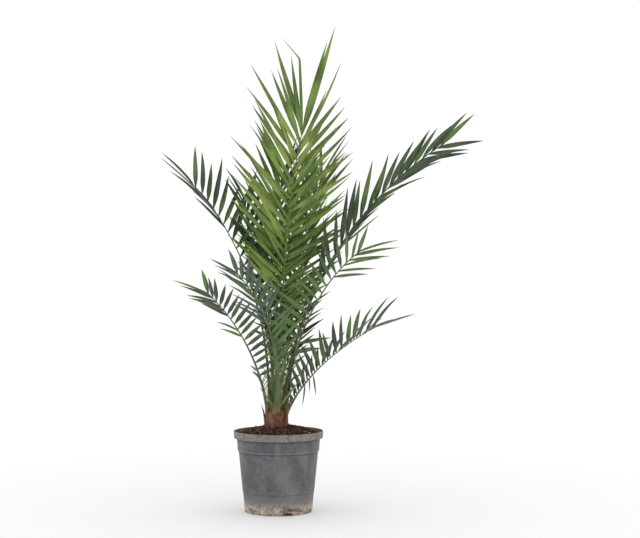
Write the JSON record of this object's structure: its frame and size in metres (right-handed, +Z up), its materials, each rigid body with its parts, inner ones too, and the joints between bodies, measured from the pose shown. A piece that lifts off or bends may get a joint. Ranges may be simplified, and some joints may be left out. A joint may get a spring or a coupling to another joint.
{
  "type": "potted canary island date palm",
  "caption": "Young Canary Island date palm in a round grey nursery pot: a short fibrous stem, an upright centre frond and arching feather fronds all round.",
  "frame": {"origin": "middle of the pot's flat underside", "axes": "+Z up along the pot, +X to the right and -Y towards the viewer of the picture"},
  "size_m": [0.8663, 0.7126, 1.3067],
  "materials": {
    "pot": "matt, weathered, with dust near the foot",
    "soil": "loose moist potting mix",
    "stem": "matted brown fibre",
    "dry_frond": "dry and split",
    "leaf_young": "satin leaf",
    "leaf_old": "satin leaf",
    "leaf_bluish": "waxy leaf with a bluish bloom"
  },
  "bodies": {
    "root": {"pot": "pot", "soil": "soil", "stem": "stem", "dry_frond_stub": "dry_frond", "frond_centre": "leaf_young", "frond_centre_left": "leaf_young", "frond_centre_right": "leaf_young", "frond_right_long": "leaf_old", "frond_right_middle": "leaf_old", "frond_right_short": "leaf_old", "frond_left_long": "leaf_old", "frond_left_short": "leaf_old", "frond_front": "leaf_bluish", "frond_back_left": "leaf_old", "frond_back": "leaf_old", "frond_back_right": "leaf_old"}
  },
  "joints": []
}
